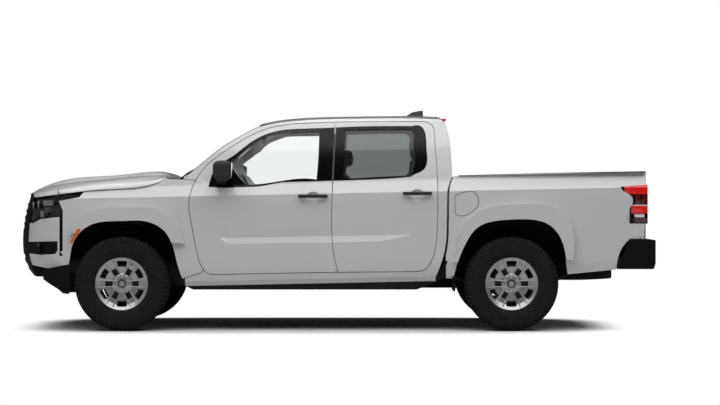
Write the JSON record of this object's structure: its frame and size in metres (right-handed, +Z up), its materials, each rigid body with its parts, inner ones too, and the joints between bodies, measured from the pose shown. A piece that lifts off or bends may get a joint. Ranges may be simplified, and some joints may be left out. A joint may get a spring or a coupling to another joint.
{
  "type": "pickup truck",
  "caption": "Crew-cab pickup truck with an open load bed; wheels, steering, four doors, hood, tailgate and fuel door move.",
  "frame": {"origin": "centre of the truck's bounding box in plan, on the ground plane", "axes": "+X points to the rear (the tailgate), -X to the nose; -Y is the truck's left side, +Z is up"},
  "size_m": [5.3404, 2.145, 1.8472],
  "materials": {
    "body_paint": "gloss white paint",
    "black_plastic": "textured black plastic",
    "charcoal_plastic": "satin charcoal plastic",
    "window_glass": "tinted safety glass",
    "lamp_glass": "clear lamp lens",
    "red_lens": "red lamp lens",
    "tyre_rubber": "tyre rubber",
    "wheel_paint": "silver wheel paint",
    "chassis_paint": "black chassis paint",
    "cast_metal": "cast iron",
    "alloy_metal": "cast aluminium",
    "exhaust_steel": "stainless steel",
    "seat_fabric": "woven seat cloth"
  },
  "bodies": {
    "truck_body": {"arch_liners": "black_plastic", "cab_glass": "window_glass", "cab_shell": "body_paint", "cargo_bed": "body_paint", "dashboard": "charcoal_plastic", "driveshaft": "chassis_paint", "engine_block": "cast_metal", "exhaust": "exhaust_steel", "front_bumper": "body_paint", "front_fenders": "body_paint", "front_suspension": "chassis_paint", "front_valance": "black_plastic", "fuel_tank": "black_plastic", "grille": "black_plastic", "headlamps": "lamp_glass", "ladder_frame": "chassis_paint", "leaf_springs": "chassis_paint", "radiator": "alloy_metal", "rear_axle": "cast_metal", "rear_bumper": "black_plastic", "roof_trim": "charcoal_plastic", "seats": "seat_fabric", "spare_wheel": "tyre_rubber", "tail_lamps": "red_lens", "wipers": "black_plastic"},
    "hood": {"hood": "body_paint"},
    "tailgate": {"tailgate": "body_paint"},
    "fuel_door": {"fuel_door": "body_paint"},
    "knuckle_left": {"knuckle_left": "cast_metal"},
    "knuckle_right": {"knuckle_right": "cast_metal"},
    "steering_wheel": {"steering_wheel": "charcoal_plastic"},
    "door_front_left": {"door_front_left": "body_paint", "door_front_left_glass": "window_glass", "door_front_left_trim": "charcoal_plastic"},
    "wheel_front_left": {"wheel_front_left": "wheel_paint", "tyre_front_left": "tyre_rubber"},
    "door_front_right": {"door_front_right": "body_paint", "door_front_right_glass": "window_glass", "door_front_right_trim": "charcoal_plastic"},
    "wheel_front_right": {"wheel_front_right": "wheel_paint", "tyre_front_right": "tyre_rubber"},
    "door_rear_left": {"door_rear_left": "body_paint", "door_rear_left_glass": "window_glass", "door_rear_left_trim": "charcoal_plastic"},
    "wheel_rear_left": {"wheel_rear_left": "wheel_paint", "tyre_rear_left": "tyre_rubber"},
    "door_rear_right": {"door_rear_right": "body_paint", "door_rear_right_glass": "window_glass", "door_rear_right_trim": "charcoal_plastic"},
    "wheel_rear_right": {"wheel_rear_right": "wheel_paint", "tyre_rear_right": "tyre_rubber"}
  },
  "joints": [
    {"name": "steer_left", "type": "hinge", "parent": "truck_body", "child": "knuckle_left", "pos_m": [-1.73, -0.69, 0.388], "axis": [0, 0, 1], "range_deg": [-32, 32]},
    {"name": "spin_front_left", "type": "hinge", "parent": "knuckle_left", "child": "wheel_front_left", "pos_m": [-1.73, -0.785, 0.388], "axis": [0, 1, 0], "continuous": true},
    {"name": "spin_rear_left", "type": "hinge", "parent": "truck_body", "child": "wheel_rear_left", "pos_m": [1.47, -0.785, 0.388], "axis": [0, 1, 0], "continuous": true},
    {"name": "door_front_left_hinge", "type": "hinge", "parent": "truck_body", "child": "door_front_left", "pos_m": [-1.18, -0.9, 0.9], "axis": [0, 0, -1], "range_deg": [0, 68]},
    {"name": "door_rear_left_hinge", "type": "hinge", "parent": "truck_body", "child": "door_rear_left", "pos_m": [-0.002, -0.9, 0.9], "axis": [0, 0, -1], "range_deg": [0, 68]},
    {"name": "steer_right", "type": "hinge", "parent": "truck_body", "child": "knuckle_right", "pos_m": [-1.73, 0.69, 0.388], "axis": [0, 0, 1], "range_deg": [-32, 32]},
    {"name": "spin_front_right", "type": "hinge", "parent": "knuckle_right", "child": "wheel_front_right", "pos_m": [-1.73, 0.785, 0.388], "axis": [0, 1, 0], "continuous": true},
    {"name": "spin_rear_right", "type": "hinge", "parent": "truck_body", "child": "wheel_rear_right", "pos_m": [1.47, 0.785, 0.388], "axis": [0, 1, 0], "continuous": true},
    {"name": "door_front_right_hinge", "type": "hinge", "parent": "truck_body", "child": "door_front_right", "pos_m": [-1.18, 0.9, 0.9], "axis": [0, 0, 1], "range_deg": [0, 68]},
    {"name": "door_rear_right_hinge", "type": "hinge", "parent": "truck_body", "child": "door_rear_right", "pos_m": [-0.002, 0.9, 0.9], "axis": [0, 0, 1], "range_deg": [0, 68]},
    {"name": "hood_hinge", "type": "hinge", "parent": "truck_body", "child": "hood", "pos_m": [-1.375, 0, 1.215], "axis": [0, 1, 0], "range_deg": [0, 50]},
    {"name": "tailgate_hinge", "type": "hinge", "parent": "truck_body", "child": "tailgate", "pos_m": [2.57, 0, 0.812], "axis": [0, 1, 0], "range_deg": [0, 90]},
    {"name": "fuel_door_hinge", "type": "hinge", "parent": "truck_body", "child": "fuel_door", "pos_m": [1.004, -0.888, 1.04], "axis": [0, 0, -1], "range_deg": [0, 90]},
    {"name": "steering_wheel_turn", "type": "hinge", "parent": "truck_body", "child": "steering_wheel", "pos_m": [-0.7, -0.375, 1.12], "axis": [0.8988, 0, 0.4384], "range_deg": [-512, 512]}
  ],
  "couplings": [
    {"joint": "steer_right", "follows": "steer_left", "ratio": 1},
    {"joint": "steering_wheel_turn", "follows": "steer_left", "ratio": 16}
  ]
}
